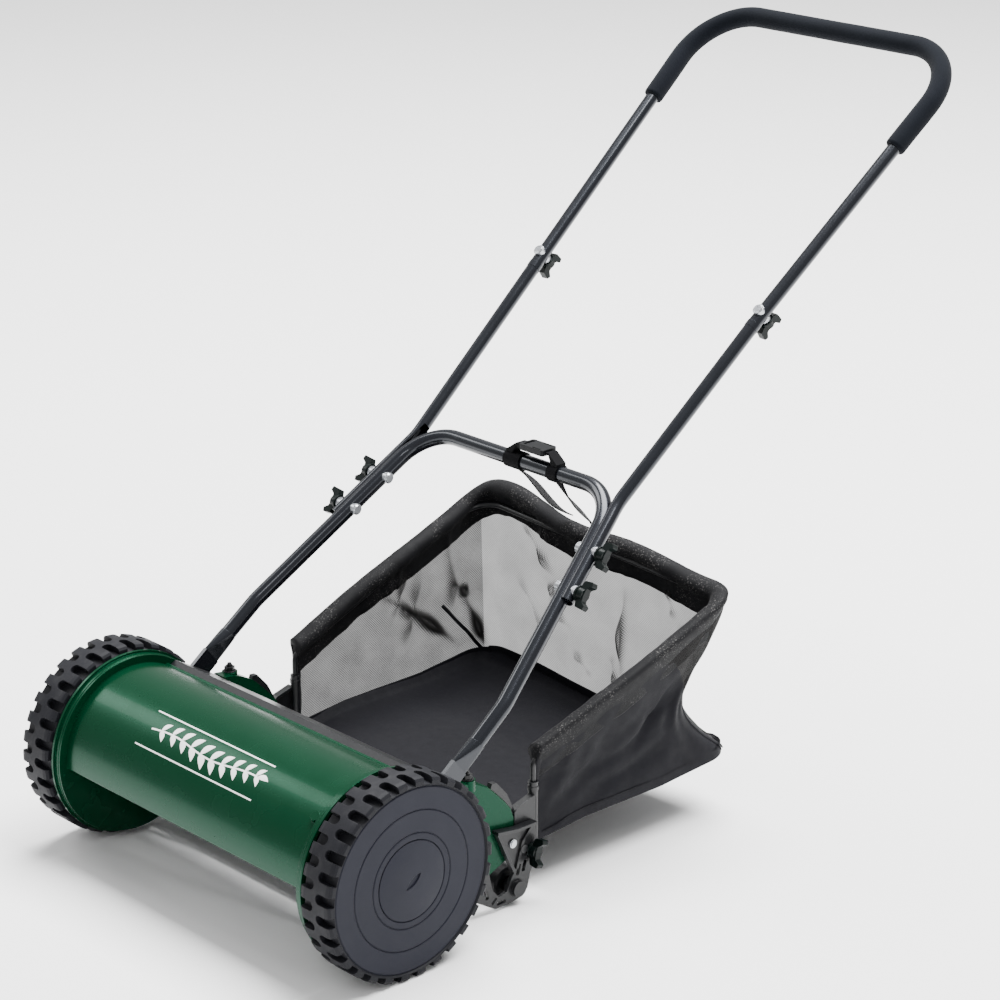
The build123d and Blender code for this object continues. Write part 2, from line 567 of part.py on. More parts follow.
seat_top = bolt_up + NORMAL * (TUBE_D / 2)
seat_under = bolt_up - NORMAL * (TUBE_D / 2)
top_core = bar(joint - run * 20, joint + run * 45, TUBE_D / 2)
top_bolt = carriage_bolt(seat_top + NORMAL * 0.8, NORMAL * -1, TUBE_D + 9.4)
top_bolt = top_bolt + (bar(bolt_up, seat_top + NORMAL * 0.8, 6.2) - top_core)
under_washer = bar(bolt_up, seat_under - NORMAL * 0.9, 6.8) - top_core
under_washer = under_washer - bar(bolt_up, seat_under - NORMAL * 4, 2.9)
save("upper_clamp_bolts", Compound(children=[*both(top_bolt).solids(), *both(under_washer).solids()]))
save_pair("upper_knob", wing_knob(seat_under - NORMAL * 1.2, NORMAL * -1, run))

# ---------------------------------------------------------------- rear brackets and bag sockets
foot = slab_x([(183.0, 64.0), (186.0, 64.0), (186.0, 98.0), (183.0, 98.0)], 180.0, 197.2)
web_profile = [(183.0, 99.0), (190.0, 104.0), (206.0, 108.0), (211.0, 110.0), (211.0, 44.0),
               (206.0, 34.0), (196.0, 34.0), (186.5, 42.0), (183.0, 46.0), (183.0, 62.0)]
bracket = slab_x(web_profile, 193.0, 197.2) + foot
bracket = bracket + slab_x([(183.0, 97.0), (190.0, 102.0), (206.0, 106.0), (211.0, 108.0),
                            (211.0, 111.0), (205.0, 109.5), (189.0, 105.0), (183.0, 100.5)], 189.0, 197.2)
socket = bar((SOCKET_X, SOCKET_Y, 44.0), (SOCKET_X, SOCKET_Y, 118.0), 5.4)
socket = socket + bar((SOCKET_X, SOCKET_Y, 114.0), (SOCKET_X, SOCKET_Y, 118.0), 6.0)
socket = socket - slab_x([(200, 40), (230, 40), (230, 130), (200, 130)], 197.2, 200)
bracket = bracket + socket
bracket = bracket - bar((SOCKET_X, SOCKET_Y, 52.0), (SOCKET_X, SOCKET_Y, 119.0), 3.08)
fin = slab_x([(153.0, 134.4), (155.0, 139.5), (161.0, 139.0), (175.0, 123.0), (184.5, 104.0), (186.0, 98.0),
              (183.0, 98.0), (183.0, 95.2), (179.1, 106.2), (171.1, 116.2), (160.1, 127.7)], 188.0, 194.0)
bracket = bracket + fin
for y, z in HEIGHT_BOLTS:
    middle = z + (HEIGHT_UP - HEIGHT_DOWN) / 2
    slot = SlotOverall(HEIGHT_UP + HEIGHT_DOWN + 6.0, 6.0)
    bracket = bracket - extrude(side_plane(191.0) * Pos(y, middle) * Rot(0, 0, 90) * slot, 8)
bracket = bracket - [bar((185.0, 182.0, z), (185.0, 188.0, z), 2.5) for z in (72.0, 90.0)]
save_pair("rear_bracket", bracket)

foot_bolts = []
for z in (72.0, 90.0):
    bolt = bar((185.0, 179.0, z), (185.0, 186.0, z), 2.5)
    bolt = bolt + bar((185.0, 186.0, z), (185.0, 187.4, z), 3.9)
    bolt = bolt + bar((185.0, 179.0, z), (185.0, 180.5, z), 3.9)
    foot_bolts += list(both(bolt).solids())
save("bracket_rivets", Compound(children=foot_bolts))

# ---------------------------------------------------------------- roller carriage
arm_profile = [(187.0, 71.0), (209.0, 71.0), (211.0, 66.0), (209.0, 46.0), (201.0, 30.0), (197.0, 14.0),
               (190.0, 6.5), (176.0, 4.5), (152.0, 4.5), (148.0, 9.0), (152.0, 14.0), (168.0, 18.0),
               (176.0, 33.0), (185.2, 45.0)]
ear_profile = [(153.0, 87.5), (180.0, 83.6), (205.0, 83.5), (207.0, 79.0), (209.0, 71.0), (187.0, 50.0),
               (181.0, 38.0), (176.0, 38.0)]
fore_profile = [(127.0, 20.0), (131.0, 50.0), (138.0, 55.0), (143.0, 52.0), (149.0, 26.0), (160.0, 14.0),
                (176.0, 14.0), (176.0, 4.5), (152.0, 4.5)]
arm = slab_x(arm_profile, 197.4, 201.4) + slab_x(ear_profile, 197.4, 201.4)
arm = arm + slab_x(fore_profile, 197.4, 201.4)
arm = arm + slab_x([(152.0, 87.6), (180.0, 83.4), (206.0, 83.4), (206.0, 86.4), (180.0, 86.6), (152.0, 90.8)],
                   197.4, 206.6)
arm = arm + slab_x([(153.0, 88.0), (156.4, 88.0), (179.4, 39.0), (176.0, 38.0)], 201.4, 203.6)
arm = arm + slab_x([(202.0, 84.0), (205.4, 84.0), (191.0, 68.0), (182.6, 41.0), (179.4, 41.0), (187.6, 69.0)],
                   201.4, 203.6)
arm = arm + rod_x(9.5, 197.4, 203.5, ROLLER_Y, ROLLER_Z)
window = RectangleRounded(4.6, 12.0, 1.2)
arm = arm - extrude(side_plane(197.0) * Pos(184.5, 38.0) * Rot(0, 0, -16) * window, 6)
arm = arm - extrude(side_plane(197.0) * Pos(192.5, 40.0) * Rot(0, 0, -16) * window, 6)
arm = arm - extrude(side_plane(197.0) * Pos(161.0, 9.0) * RectangleRounded(12.0, 3.6, 1.2), 6)
arm = arm - extrude(side_plane(197.0) * Pos(134.6, 40.0) * Rot(0, 0, 8) * RectangleRounded(4.4, 13.0, 1.4), 6)
fore_window = Rot(0, 0, 12) * RectangleRounded(4.4, 12.0, 1.4)
arm = arm - extrude(side_plane(197.0) * Pos(140.6, 24.0) * fore_window, 6)
arm = arm - extrude(side_plane(197.0) * Pos(151.0, 13.5) * Rot(0, 0, 42) * RectangleRounded(9.0, 3.4, 1.2), 6)
arm = arm - rod_x(2.5, 196, 206, *STOP_SCREW)
arm = arm - rod_x(5.2, 201.4, 206, *HEIGHT_BOLTS[0])
arm = arm - rod_x(6.0, 190, 210, ROLLER_Y, ROLLER_Z)
arm = arm - [rod_x(3.0, 190, 210, y, z) for y, z in HEIGHT_BOLTS]
save_pair("roller_arm", arm)

axle_rod = rod_x(6.0, -204.5, 204.5, ROLLER_Y, ROLLER_Z)
axle_rod = axle_rod + both(rod_x(8.5, 203.5, 206.0, ROLLER_Y, ROLLER_Z))
axle_rod = axle_rod + both(rod_x(8.0, 188.4, 192.6, ROLLER_Y, ROLLER_Z))
save("roller_axle", axle_rod)
roller = turned_x([(-188.0, 6.08), (-188.0, ROLLER_R - 2.0), (-186.0, ROLLER_R), (186.0, ROLLER_R),
                   (188.0, ROLLER_R - 2.0), (188.0, 6.08)], ROLLER_Y, ROLLER_Z)
for x in (-124.0, -62.0, 0.0, 62.0, 124.0):
    roller = roller - tube_x(ROLLER_R + 1, ROLLER_R - 1.6, x - 1.0, x + 1.0, ROLLER_Y, ROLLER_Z)
save("roller", roller)

guide_y, guide_z = HEIGHT_BOLTS[0]
clamp_y, clamp_z = HEIGHT_BOLTS[1]
guide = rod_x(4.3, 189.4, 192.8, guide_y, guide_z) + rod_x(2.9, 192.8, 201.4, guide_y, guide_z)
guide = guide + rod_x(4.6, 201.4, 204.0, guide_y, guide_z)
clamp = rod_x(4.6, 189.4, 192.8, clamp_y, clamp_z) + rod_x(2.9, 192.8, 209.4, clamp_y, clamp_z)
save("height_bolts", Compound(children=list(both(guide).solids()) + list(both(clamp).solids())))
stop_screw = rod_x(2.5, 197.6, 201.4, *STOP_SCREW) + rod_x(4.6, 201.4, 203.2, *STOP_SCREW)
stop_screw = stop_screw + rod_x(3.4, 203.2, 204.2, *STOP_SCREW)
save("stop_screws", both(stop_screw))
save_pair("height_knob", wing_knob(Vector(201.7, clamp_y, clamp_z), Vector(1, 0, 0),
                                   Vector(0, 0.3, 0.954).normalized()))

# ---------------------------------------------------------------- collecting bag
LEFT_RIM = [(BAG_FRONT_Y, 155.0), (248.0, 169.0), (306.0, 193.5), (457.0, 254.0), (BAG_REAR_Y + 9, 276.0)]
RIGHT_RIM = [(BAG_FRONT_Y, 154.0), (248.0, 165.0), (306.0, 186.0), (457.0, 238.0), (BAG_REAR_Y + 9, 257.0)]
FLOOR = [(BAG_REAR_Y + 9, 68.0), (400.0, 59.0), (287.0, 60.0), (229.0, 55.0), (228.0, 62.0), (224.0, 124.0),
         (BAG_FRONT_Y, 132.0)]


def side_face(x, points):
    return make_face(Polyline(*[(x, y, z) for y, z in points], close=True))


def bag_block(rim_up, floor_up, forward):
    """Bag volume between the sloping rim and the floor, wider than the bag itself."""
    faces = []
    for x, rim_line in ((-215.0, LEFT_RIM), (215.0, RIGHT_RIM)):
        top_line = [(y - (forward if i == 0 else 0), z + rim_up) for i, (y, z) in enumerate(rim_line)]
        floor_line = [(y - (forward if i >= 3 else 0), z + floor_up) for i, (y, z) in enumerate(FLOOR)]
        faces.append(side_face(x, top_line + floor_line))
    return loft(faces, ruled=True)


def bag_plan(inset, front_open):
    """Plan shape of the bag, a little wider at the rim than at the floor."""
    sections = []
    for z, half, rear in ((40.0, 191.5, 501.0), (300.0, 203.0, 503.5)):
        front = BAG_FRONT_Y - 10 - front_open
        back = rear - inset
        h = half - inset
        r = 34.0 - inset
        bow = r * 0.2929
        edges = [Edge.make_line((-h, front, z), (h, front, z)),
                 Edge.make_line((h, front, z), (h, back - r, z)),
                 Edge.make_three_point_arc((h, back - r, z), (h - bow, back - bow, z), (h - r, back, z)),
                 Edge.make_line((h - r, back, z), (-h + r, back, z)),
                 Edge.make_three_point_arc((-h + r, back, z), (-h + bow, back - bow, z), (-h, back - r, z)),
                 Edge.make_line((-h, back - r, z), (-h, front, z))]
        sections.append(make_face(Wire(edges)))
    return loft(sections, ruled=True)


bag_outer = bag_block(0.0, 0.0, 0.0) & bag_plan(0.0, 0.0)
bag_inner = bag_block(60.0, 2.2, 40.0) & bag_plan(2.2, 30.0)
fabric = bag_outer - bag_inner
save("bag_fabric", max(fabric.solids(), key=lambda s: s.volume))

wire_r = 3.0
collar_z = 118.2
wire_points = [(-SOCKET_X, SOCKET_Y, 62.0), (-SOCKET_X, SOCKET_Y, 147.0), (-193.0, 494.5, 261.5),
               (193.0, 494.5, 244.0), (SOCKET_X, SOCKET_Y, 146.0), (SOCKET_X, SOCKET_Y, 62.0)]
wire = pipe(wire_points, [12.0, 34.0, 34.0, 12.0], wire_r)
save("bag_frame", wire)
stop = bar((SOCKET_X, SOCKET_Y, collar_z), (SOCKET_X, SOCKET_Y, collar_z + 5), 5.4)
stop = stop - bar((SOCKET_X, SOCKET_Y, 116), (SOCKET_X, SOCKET_Y, 126), wire_r)
save("bag_stops", both(stop))

# ---------------------------------------------------------------- bag strap
cross_z = corner_r[2]
loop_x = -5.0
loop_ring = tube_x(LEG_D / 2 + 1.8, LEG_D / 2, loop_x - 12, loop_x + 12, CROSS_Y, cross_z)
loop_far = tube_x(LEG_D / 2 + 1.8, LEG_D / 2, 49.0, 63.0, CROSS_Y, cross_z)
buckle_z = cross_z + 20.5
buckle = Pos(27.0, CROSS_Y, buckle_z) * Box(36.0, 22.0, 6.6)
buckle = fillet(buckle.edges().filter_by(Axis.Z), 3.0)
buckle = buckle - [Pos(34.0, CROSS_Y + s * 9.0, buckle_z) * Box(12.0, 1.6, 9.0) for s in (-1, 1)]
buckle = buckle - Pos(14.0, CROSS_Y, buckle_z + 3.0) * Box(4.0, 15.0, 2.4)
save("strap_buckle", buckle)
low, high = cross_z + LEG_D / 2 + 0.2, buckle_z - 0.9
web_line = [(-15.0, low), (-15.0, low + 2.6), (0.0, high + 1.8), (9.0, high + 1.8), (9.0, high), (1.0, high),
            (-6.0, low)]
web_far = [(45.0, high), (45.0, high + 1.8), (50.0, high + 1.8), (62.5, low + 2.6), (62.5, low), (54.0, low),
           (49.0, high)]
risers = []
for outline in (web_line, web_far):
    face = make_face(Polyline(*[(x, CROSS_Y, z) for x, z in outline], close=True))
    risers.append(extrude(face, 6.5, both=True) - rod_x(LEG_D / 2 + 1.8, -40, 80, CROSS_Y, cross_z))
near_loop, far_loop = loop_ring + risers[0], loop_far + risers[1]
save("strap_loops", Compound(children=[*near_loop.solids(), *far_loop.solids()]))


def strap(start, end, width):
    """Straight webbing between two points, its width along X."""
    a = Vector(*start)
    b = Vector(*end)
    d = (b - a).normalized()
    flat = Plane(origin=a, x_dir=(1, 0, 0), z_dir=d)
    return extrude(flat * Rectangle(width, 1.6), (b - a).length)


tails = [strap((-9.0, CROSS_Y + 3.0, cross_z - 12.4), (-50.0, 490.0, 272.0), 12.0),
         strap((56.0, CROSS_Y + 3.0, cross_z - 12.4), (-6.0, 490.0, 270.0), 12.0)]
save("strap_tails", Compound(children=[s for t in tails for s in t.solids()]))
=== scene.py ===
import json
import math

import bpy
from mathutils import Matrix, Vector, noise


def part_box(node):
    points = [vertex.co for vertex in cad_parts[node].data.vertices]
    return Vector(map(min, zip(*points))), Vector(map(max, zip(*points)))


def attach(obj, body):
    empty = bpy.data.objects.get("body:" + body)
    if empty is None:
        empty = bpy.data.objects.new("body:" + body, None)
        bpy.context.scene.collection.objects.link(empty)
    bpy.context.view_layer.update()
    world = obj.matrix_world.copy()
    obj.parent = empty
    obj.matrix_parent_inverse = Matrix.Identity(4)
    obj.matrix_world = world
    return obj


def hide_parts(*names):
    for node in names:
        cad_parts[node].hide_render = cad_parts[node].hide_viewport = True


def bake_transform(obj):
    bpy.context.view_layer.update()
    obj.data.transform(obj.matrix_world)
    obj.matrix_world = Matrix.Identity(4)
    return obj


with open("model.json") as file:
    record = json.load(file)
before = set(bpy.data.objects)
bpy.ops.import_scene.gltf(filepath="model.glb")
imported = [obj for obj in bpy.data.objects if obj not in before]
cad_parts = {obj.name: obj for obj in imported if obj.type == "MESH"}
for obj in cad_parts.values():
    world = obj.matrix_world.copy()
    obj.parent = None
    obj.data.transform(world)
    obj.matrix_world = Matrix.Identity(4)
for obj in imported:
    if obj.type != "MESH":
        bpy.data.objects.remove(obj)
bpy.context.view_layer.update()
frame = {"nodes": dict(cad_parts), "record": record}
nodes = frame["nodes"]


# ------------------------------------------------------------------ camera, light and floor
def look_at(obj, target):
    turn = (Vector(target) - obj.location).to_track_quat("-Z", "Y")
    obj.rotation_euler = turn.to_euler()


AZ, EL, DIST = math.radians(47.18), math.radians(19.37), 3.094
LENS = 110.05
TARGET = Vector((0.0985, 0.2544, 0.3914))
camera_data = bpy.data.cameras.new("camera")
camera_data.sensor_width = 36.0
camera_data.lens = LENS
camera_data.clip_end = 60.0
camera = bpy.data.objects.new("camera", camera_data)
bpy.context.scene.collection.objects.link(camera)
towards = Vector((math.sin(AZ) * math.cos(EL), -math.cos(AZ) * math.cos(EL), math.sin(EL)))
camera.location = TARGET + DIST * towards
look_at(camera, TARGET)
bpy.context.scene.camera = camera


def area_light(name, place, target, size, power):
    data = bpy.data.lights.new(name, "AREA")
    data.shape = "RECTANGLE"
    data.size, data.size_y = size
    data.energy = power
    lamp = bpy.data.objects.new(name, data)
    bpy.context.scene.collection.objects.link(lamp)
    lamp.location = place
    look_at(lamp, target)
    return lamp


area_light("top_box", (0.0, 1.6, 4.6), (0.0, 0.4, 0.0), (5.0, 3.0), 1150)
area_light("left_box", (-2.8, -0.6, 2.2), (0.0, 0.1, 0.2), (0.8, 1.8), 36)
area_light("right_strip", (2.2, -2.6, 3.2), (0.1, 0.3, 0.3), (0.5, 1.4), 30)

world = bpy.data.worlds.new("world")
world.use_nodes = True
world.node_tree.nodes["Background"].inputs["Color"].default_value = (1.0, 1.0, 1.0, 1)
world.node_tree.nodes["Background"].inputs["Strength"].default_value = 0.75
bpy.context.scene.world = world


# ------------------------------------------------------------------ material helpers
class Graph:
    """Small helper for building one node material."""

    def __init__(self, name):
        self.material = bpy.data.materials.new(name)
        self.material.use_nodes = True
        self.tree = self.material.node_tree
        self.tree.nodes.clear()
        self.out = self.tree.nodes.new("ShaderNodeOutputMaterial")
        self.bsdf = self.tree.nodes.new("ShaderNodeBsdfPrincipled")
        self.link(self.bsdf.outputs[0], self.out.inputs["Surface"])

    def link(self, a, b):
        self.tree.links.new(a, b)

    def put(self, socket, value):
        if isinstance(value, bpy.types.NodeSocket):
            self.link(value, socket)
        elif hasattr(value, "__len__") and len(value) == 3 and socket.type == "RGBA":
            socket.default_value = (*value, 1)
        else:
            socket.default_value = value

    def set(self, **values):
        for key, value in values.items():
            self.put(self.bsdf.inputs[key.replace("_", " ")], value)

    def node(self, kind, **inputs):
        n = self.tree.nodes.new(kind)
        for key, value in inputs.items():
            self.put(n.inputs[key], value)
        return n

    def math(self, op, a, b=0.0, c=0.0, clamp=False):
        n = self.tree.nodes.new("ShaderNodeMath")
        n.operation = op
        n.use_clamp = clamp
        for i, value in enumerate((a, b, c)):
            self.put(n.inputs[i], value)
        return n.outputs[0]

    def mix(self, factor, a, b):
        n = self.tree.nodes.new("ShaderNodeMix")
        n.data_type = "RGBA"
        self.put(n.inputs["Factor"], factor)
        self.put(n.inputs["A"], a)
        self.put(n.inputs["B"], b)
        return n.outputs["Result"]

    def scaled(self, value, low, high):
        n = self.tree.nodes.new("ShaderNodeMapRange")
        self.put(n.inputs["Value"], value)
        n.inputs["To Min"].default_value = low
        n.inputs["To Max"].default_value = high
        return n.outputs["Result"]

    def step(self, value, low, high):
        """0 below low, 1 above high."""
        n = self.tree.nodes.new("ShaderNodeMapRange")
        n.interpolation_type = "SMOOTHSTEP"
        self.put(n.inputs["Value"], value)
        n.inputs["From Min"].default_value = low
        n.inputs["From Max"].default_value = high
        return n.outputs["Result"]

    def place(self, kind="Object", stretch=(1, 1, 1)):
        coord = self.node("ShaderNodeTexCoord")
        mapping = self.node("ShaderNodeMapping")
        self.link(coord.outputs[kind], mapping.inputs["Vector"])
        mapping.inputs["Scale"].default_value = stretch
        return mapping.outputs[0]

    def noise(self, scale, detail=3.0, where=None, rough=0.5):
        n = self.node("ShaderNodeTexNoise", Scale=scale, Detail=detail, Roughness=rough)
        self.link(where if where is not None else self.place(), n.inputs["Vector"])
        return n.outputs["Fac"]

    def bump(self, height, distance, strength=1.0, under=None):
        n = self.node("ShaderNodeBump", Height=height, Distance=distance, Strength=strength)
        if under is not None:
            self.link(under, n.inputs["Normal"])
        return n.outputs[0]

    def soft_edge(self, radius):
        n = self.node("ShaderNodeBevel", Radius=radius)
        n.samples = 4
        return n.outputs[0]


def paint(name, low, high, rough, coat, peel=0.00002, edge=0.0007, tint=(1, 1, 1), scale=260,
          spec=0.3):
    """Sprayed enamel: soft colour drift, fine orange peel, faint dust in the gloss."""
    g = Graph(name)
    g.set(Base_Color=g.mix(g.noise(7, 2), low, high))
    g.set(Roughness=g.scaled(g.noise(34, 4), rough * 0.8, rough * 1.25))
    g.set(Coat_Weight=coat, Coat_Roughness=0.06, Specular_Tint=(*tint, 1),
          Specular_IOR_Level=spec)
    g.set(Normal=g.bump(g.noise(scale, 2), peel, 0.6, g.soft_edge(edge)))
    return g.material


def moulded(name, low, high, rough, grain=900, depth=0.00008, edge=0.0007, spec=0.5):
    """Moulded plastic with a fine spark-eroded grain and slight flow marks."""
    g = Graph(name)
    flow = g.noise(9, 4)
    g.set(Base_Color=g.mix(flow, low, high), Specular_IOR_Level=spec)
    g.set(Roughness=g.scaled(g.noise(60, 5), rough * 0.85, rough * 1.15))
    g.set(Normal=g.bump(g.noise(grain, 2), depth, 0.7, g.soft_edge(edge)))
    return g.material


def metal(name, low, high, rough, stretch=(1, 1, 1), scale=300, depth=0.00003, edge=0.0004):
    """Bare or plated metal with brushing along the short axis of `stretch`."""
    g = Graph(name)
    lines = g.noise(scale, 5, g.place("Object", stretch), 0.7)
    g.set(Base_Color=g.mix(lines, low, high), Metallic=1.0)
    g.set(Roughness=g.scaled(lines, rough * 0.7, rough * 1.35))
    g.set(Normal=g.bump(lines, depth, 0.5, g.soft_edge(edge)))
    return g.material


green = paint("green_enamel", (0.0, 0.0160, 0.0058), (0.0, 0.0200, 0.0076), 0.26, 0.07, scale=170,
              tint=(0.02, 1.0, 0.5), spec=0.2)
black_enamel = paint("black_enamel", (0.0026, 0.0030, 0.0042), (0.0044, 0.0050, 0.0068), 0.22, 0.26,
                     edge=0.0004, tint=(0.82, 0.88, 1.0))
black_steel = paint("black_steel", (0.0030, 0.0033, 0.0040), (0.0055, 0.0060, 0.0072), 0.38, 0.1, peel=0.0001,
                    edge=0.0006)
blade = metal("blade_steel", (0.30, 0.31, 0.33), (0.56, 0.57, 0.58), 0.34, (0.06, 1, 1))
zinc = metal("zinc", (0.34, 0.36, 0.39), (0.50, 0.51, 0.53), 0.3, scale=500)
bronze = metal("bronze", (0.42, 0.24, 0.09), (0.60, 0.38, 0.17), 0.38)
nylon = moulded("gear_nylon", (0.050, 0.052, 0.058), (0.075, 0.078, 0.085), 0.45)
knob_plastic = moulded("knob_plastic", (0.0006, 0.0022, 0.0020), (0.0014, 0.0042, 0.0036), 0.34, spec=0.14)
black_plastic = moulded("black_plastic", (0.0018, 0.0021, 0.0027), (0.0034, 0.0038, 0.0046), 0.4, spec=0.14)


def wheel_material():
    """One moulding: slate disc, darker scuffed tread, fine grain and faint turning lines."""
    g = Graph("wheel_plastic")
    coord = g.node("ShaderNodeTexCoord")
    split = g.node("ShaderNodeSeparateXYZ")
    g.link(coord.outputs["Object"], split.inputs[0])
    across = g.math("SUBTRACT", split.outputs["Z"], 0.105)
    radius = g.math("SQRT", g.math("ADD", g.math("POWER", split.outputs["Y"], 2.0),
                                   g.math("POWER", g.math("ABSOLUTE", across), 2.0)))
    tread = g.step(radius, 0.0950, 0.0962)
    disc_colour = g.mix(g.noise(14, 4), (0.0062, 0.0068, 0.0125), (0.0088, 0.0096, 0.0165))
    tread_colour = g.mix(g.noise(40, 5), (0.0042, 0.0044, 0.0062), (0.0085, 0.0088, 0.0115))
    scuff = g.math("MULTIPLY", g.step(radius, 0.1040, 0.1049), g.step(g.noise(70, 6), 0.45, 0.75))
    tread_colour = g.mix(g.math("MULTIPLY", scuff, 0.5), tread_colour, (0.020, 0.020, 0.022))
    g.set(Base_Color=g.mix(tread, disc_colour, tread_colour), Specular_IOR_Level=0.14)
    g.set(Roughness=g.math("ADD", g.scaled(g.noise(55, 5), 0.46, 0.60), g.math("MULTIPLY", tread, 0.06)))
    rings = g.math("SINE", g.math("MULTIPLY", radius, 5200.0))
    faint = g.math("MULTIPLY", rings, g.math("MULTIPLY", g.math("SUBTRACT", 1.0, tread), 0.05))
    height = g.math("ADD", g.noise(1100, 2), faint)
    g.set(Normal=g.bump(height, 0.00009, 0.7, g.soft_edge(0.0009)))
    return g.material


wheel_plastic = wheel_material()


def foam_material():
    g = Graph("foam")
    cells = g.node("ShaderNodeTexVoronoi", Scale=1500.0)
    g.link(g.place(), cells.inputs["Vector"])
    cell = cells.outputs["Distance"]
    shade = g.math("MULTIPLY", g.noise(30, 5), cell)
    g.set(Base_Color=g.mix(shade, (0.0022, 0.0030, 0.0048), (0.0070, 0.0088, 0.0130)))
    g.set(Roughness=0.9, Sheen_Weight=0.03, Sheen_Roughness=0.5, Specular_IOR_Level=0.07)
    soft = g.math("ADD", g.math("MULTIPLY", cell, 0.6), g.noise(160, 4))
    g.set(Normal=g.bump(soft, 0.0003, 0.6))
    return g.material


def weave(g, pitch, where=None):
    """Plain weave height from the cloth's own coordinates, in metres."""
    split = g.node("ShaderNodeSeparateXYZ")
    g.link(where if where is not None else g.place("UV"), split.inputs[0])
    turn = math.pi / pitch
    a = g.math("SINE", g.math("MULTIPLY", split.outputs["X"], turn))
    b = g.math("SINE", g.math("MULTIPLY", split.outputs["Y"], turn))
    return g.math("ABSOLUTE", g.math("MULTIPLY", a, b))


def cloth_material(name, low, high, pitch=0.0011, sheen=0.12, painted_light_specks=0.0):
    """Coated nylon cloth. Optionally pale flecks are painted in where light passes through small holes in it:
    painted light.
    """
    g = Graph(name)
    threads = weave(g, pitch)
    base = g.mix(g.noise(22, 5), low, high)
    base = g.mix(g.math("MULTIPLY", threads, 0.5), base, tuple(c * 0.5 for c in low))
    if painted_light_specks:
        # painted light: pale flecks, in patches, where light passes through small holes in the hem
        light_hole_flecks = g.step(g.noise(620, 3), 0.56, 0.70)
        light_fleck_patches = g.step(g.noise(24, 3), 0.42, 0.62)
        painted_light = g.math("MULTIPLY", g.math("MULTIPLY", light_hole_flecks, light_fleck_patches), painted_light_specks)
        base = g.mix(painted_light, base, (0.10, 0.097, 0.094))
    g.set(Base_Color=base, Roughness=g.scaled(g.noise(90, 4), 0.62, 0.82))
    g.set(Sheen_Weight=sheen, Sheen_Roughness=0.4, Specular_IOR_Level=0.15)
    fine = g.bump(threads, 0.00012, 0.6)
    g.set(Normal=g.bump(g.noise(55, 5), 0.0009, 0.5, fine))
    return g.material


def net_material(name, cover, pitch=0.0026):
    """Fine knitted net: `cover` of the light is stopped, more on the threads, and more along the creases,
    where the net bunches and where shade is painted in as extra opacity.
    """
    g = Graph(name)
    split = g.node("ShaderNodeSeparateXYZ")
    g.link(g.place("UV"), split.inputs[0])
    gather_and_shade = g.node("ShaderNodeAttribute")
    gather_and_shade.attribute_name = "gather_and_shade"
    threads = []
    for sign in (1.0, -1.0):
        slant = g.math("ADD", split.outputs["X"], g.math("MULTIPLY", split.outputs["Y"], sign * 0.9))
        threads.append(g.math("ABSOLUTE", g.math("SINE", g.math("MULTIPLY", slant, math.pi / pitch))))
    cell = g.math("MULTIPLY", threads[0], threads[1])
    drift = g.math("MULTIPLY", g.math("SUBTRACT", g.noise(26, 4, g.place("UV")), 0.5), 0.07)
    stop = g.math("ADD", g.math("MULTIPLY", g.math("SUBTRACT", 0.40, cell), 0.10), drift)
    # painted shade: extra opacity along the creases darkens them, partly for the net bunching there
    crease_gather_and_shade = g.math("MULTIPLY", gather_and_shade.outputs["Fac"], 0.28)
    stop = g.math("ADD", g.math("ADD", stop, cover), crease_gather_and_shade, clamp=True)
    g.set(Base_Color=g.mix(g.noise(40, 4), (0.0050, 0.0048, 0.0048), (0.0100, 0.0095, 0.0095)))
    g.set(Roughness=0.75, Specular_IOR_Level=0.1, Alpha=stop)
    return g.material


def webbing_material():
    g = Graph("webbing")
    split = g.node("ShaderNodeSeparateXYZ")
    g.link(g.place("UV"), split.inputs[0])
    twill = g.math("ADD", g.math("MULTIPLY", split.outputs["Y"], 2600.0),
                   g.math("MULTIPLY", g.math("ABSOLUTE", split.outputs["X"]), 1900.0))
    rib = g.math("ABSOLUTE", g.math("SINE", twill))
    g.set(Base_Color=g.mix(rib, (0.0014, 0.0014, 0.0020), (0.0050, 0.0050, 0.0062)))
    g.set(Roughness=0.62, Sheen_Weight=0.01, Sheen_Roughness=0.4, Specular_IOR_Level=0.06)
    g.set(Normal=g.bump(rib, 0.0002, 0.8))
    return g.material


foam = foam_material()
bag_cloth = cloth_material("bag_cloth", (0.0022, 0.0022, 0.0040), (0.0042, 0.0042, 0.0068), sheen=0.02)
# the hem's pale flecks are painted light coming through small holes
hem_cloth = cloth_material("hem_cloth", (0.0022, 0.0022, 0.0030), (0.0046, 0.0046, 0.0058),
                           pitch=0.0009, sheen=0.02, painted_light_specks=0.85)
net_left = net_material("bag_net_side", 0.932)
net_rear = net_material("bag_net_rear", 0.865)
webbing = webbing_material()

floor_graph = Graph("studio_floor")
floor_graph.set(Base_Color=floor_graph.mix(floor_graph.noise(3, 3), (0.86, 0.86, 0.86), (0.88, 0.88, 0.88)),
                Roughness=0.85, Specular_IOR_Level=0.1)

finish_of = {
    "green_enamel": green, "black_enamel": black_enamel, "black_steel": black_steel, "blade_steel": blade,
    "zinc": zinc, "wheel_plastic": wheel_plastic, "black_plastic": black_plastic,
    "knob_plastic": knob_plastic, "gear_nylon": nylon, "bronze": bronze, "foam": foam,
    "bag_cloth": bag_cloth, "webbing": webbing}
for part in frame["record"]["subparts"]:
    obj = nodes[part["node"]]
    finish = finish_of[part.get("material_slot") or part["slot"]]
    for i in range(max(1, len(obj.material_slots))):
        if not obj.material_slots:
            obj.data.materials.append(finish)
        obj.material_slots[i].material = finish


